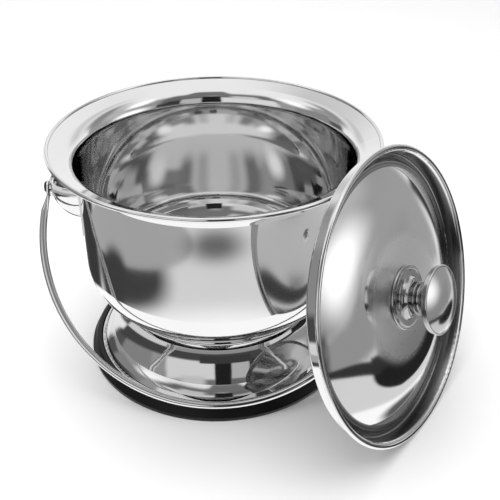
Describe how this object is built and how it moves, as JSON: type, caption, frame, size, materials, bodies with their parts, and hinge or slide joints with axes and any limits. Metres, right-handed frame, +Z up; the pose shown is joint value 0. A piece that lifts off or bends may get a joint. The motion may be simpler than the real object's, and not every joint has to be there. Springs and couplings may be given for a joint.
{
  "type": "bedside chamber pot",
  "caption": "Flanged stainless steel bedside pot on a flared foot with a rubber ring, a swinging wire bail and a domed drop-in lid with a knob.",
  "frame": {"origin": "centre of the rubber ring's underside, on the floor, on the bowl's axis", "axes": "+Z up along the bowl's axis, +X through the right ear along the bail's pivot line, -Y towards the front, where the bail hangs"},
  "size_m": [0.3624, 0.3281, 0.2208],
  "materials": {
    "polished_steel": "mirror-polished stainless steel sheet",
    "satin_steel": "finely brushed stainless steel",
    "bright_wire": "bright drawn stainless steel",
    "black_rubber": "moulded, slightly glossy",
    "black_nylon": "moulded, semi-matte"
  },
  "bodies": {
    "pot": {"bowl_shell": "polished_steel", "foot_stand": "polished_steel", "base_ring": "black_rubber", "ear_left": "polished_steel", "pivot_rivet_left": "bright_wire", "pivot_washer_left": "black_nylon", "pivot_bush_left": "black_nylon", "ear_right": "polished_steel", "pivot_rivet_right": "bright_wire", "pivot_washer_right": "black_nylon", "pivot_bush_right": "black_nylon"},
    "bail": {"bail": "bright_wire"},
    "lid": {"lid_shell": "polished_steel", "knob_gasket": "black_rubber", "knob_base": "polished_steel", "knob_neck": "polished_steel", "knob_cup": "polished_steel", "knob_cap": "satin_steel", "knob_insert": "bright_wire", "knob_screw": "bright_wire", "screw_washer": "bright_wire"}
  },
  "joints": [
    {"name": "bail_swing", "type": "hinge", "parent": "pot", "child": "bail", "pos_m": [0, 0, 0.1538], "axis": [-1, 0, 0], "range_deg": [0, 282]},
    {"name": "lid_aside", "type": "slide", "parent": "pot", "child": "lid", "axis": [0.8185, -0.5746, 0], "range_m": [0, 0.25]}
  ],
  "couplings": [
    {"joint": "lid_aside", "follows": "bail_swing", "m_per_rad": 0.05}
  ]
}
